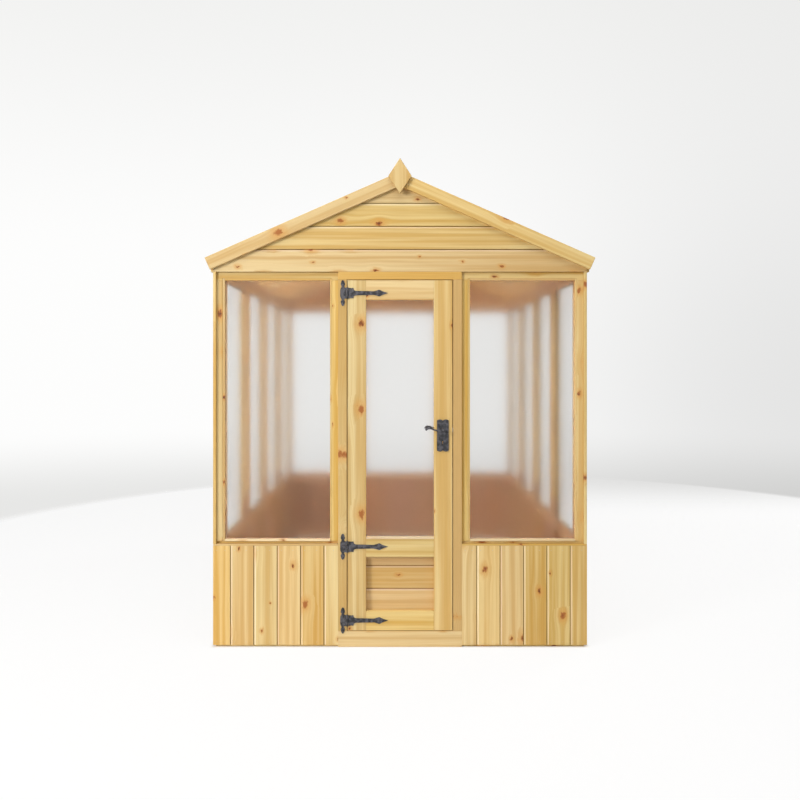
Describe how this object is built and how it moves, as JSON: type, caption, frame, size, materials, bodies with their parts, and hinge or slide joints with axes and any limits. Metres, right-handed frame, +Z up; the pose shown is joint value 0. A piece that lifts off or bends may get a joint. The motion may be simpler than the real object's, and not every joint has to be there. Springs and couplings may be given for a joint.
{
  "type": "wooden greenhouse",
  "caption": "Apex greenhouse of knotty pine: boarded low walls, frosted panes, a part-glazed door on black tee hinges, bargeboards with finials and a roof vent",
  "frame": {"origin": "on the ground at the middle of the footprint", "axes": "+X to the right as seen from the door, +Y from the door to the back, +Z up"},
  "size_m": [1.874, 2.473, 2.345],
  "materials": {
    "pine": "planed, clear dipped",
    "glazing": "lightly frosted",
    "black_iron": "antique black",
    "zinc_steel": "zinc plated"
  },
  "bodies": {
    "building": {"bottom_rails": "pine", "sill_rails": "pine", "dwarf_studs": "pine", "front_window_frames": "pine", "back_window_frames": "pine", "side_window_frames": "pine", "glazing_beads": "pine", "glazing_strips": "pine", "mullions": "pine", "corner_strips": "pine", "front_boards": "pine", "back_boards": "pine", "left_boards": "pine", "right_boards": "pine", "door_hinge_post": "pine", "door_header": "pine", "door_threshold": "pine", "door_stops": "pine", "door_lock_post": "pine", "front_gable_boards": "pine", "back_gable_boards": "pine", "gable_frames": "pine", "ridge_board": "pine", "wall_plates": "pine", "rafters": "pine", "eaves_boards": "pine", "bargeboards": "pine", "finials": "pine", "glazing_caps": "pine", "ridge_caps": "pine", "vent_trimmers": "pine", "front_panes": "glazing", "back_panes": "glazing", "side_panes": "glazing", "roof_panes": "glazing", "hinge_heads": "black_iron", "strike_plate": "zinc_steel", "vent_fixed_leaves": "zinc_steel", "stay_peg": "zinc_steel"},
    "door": {"door_top_rail": "pine", "door_mid_rail": "pine", "door_bottom_rail": "pine", "door_hinge_stile": "pine", "door_lock_stile": "pine", "door_glazing_beads": "pine", "door_panel_boards": "pine", "door_pane": "glazing", "hinge_straps": "black_iron", "lock_case": "zinc_steel", "back_plates": "black_iron"},
    "lever": {"levers": "black_iron", "spindle": "zinc_steel"},
    "latch": {"latch_bolt": "zinc_steel"},
    "dead_bolt": {"dead_bolt": "zinc_steel"},
    "vent": {"vent_frame": "pine", "vent_pane": "glazing", "vent_moving_leaves": "zinc_steel", "vent_stay_bracket": "zinc_steel"},
    "stay": {"vent_stay": "zinc_steel"}
  },
  "joints": [
    {"name": "door_swing", "type": "hinge", "parent": "building", "child": "door", "pos_m": [-0.25425, -1.2055, 0.922], "axis": [0, 0, -1], "range_deg": [0, 150]},
    {"name": "lever_turn", "type": "hinge", "parent": "door", "child": "lever", "pos_m": [0.206, -1.181, 1.044], "axis": [0, -1, 0], "range_deg": [0, 40], "stiffness_Nm_per_rad": 1.2, "springref_deg": -20.05},
    {"name": "latch_slide", "type": "slide", "parent": "door", "child": "latch", "axis": [-1, 0, 0], "range_m": [0, 0.012]},
    {"name": "dead_bolt_slide", "type": "slide", "parent": "door", "child": "dead_bolt", "axis": [1, 0, 0], "range_m": [0, 0.014]},
    {"name": "vent_lift", "type": "hinge", "parent": "building", "child": "vent", "pos_m": [0.06047, 0.2935, 2.26999], "axis": [0, -1, 0], "range_deg": [0, 40]},
    {"name": "stay_swing", "type": "hinge", "parent": "vent", "child": "stay", "pos_m": [0.4384, 0.4035, 2.08357], "axis": [0.9154, 0, -0.4026], "range_deg": [0, 90]}
  ],
  "couplings": [
    {"joint": "latch_slide", "follows": "lever_turn", "m_per_rad": 0.0171}
  ]
}
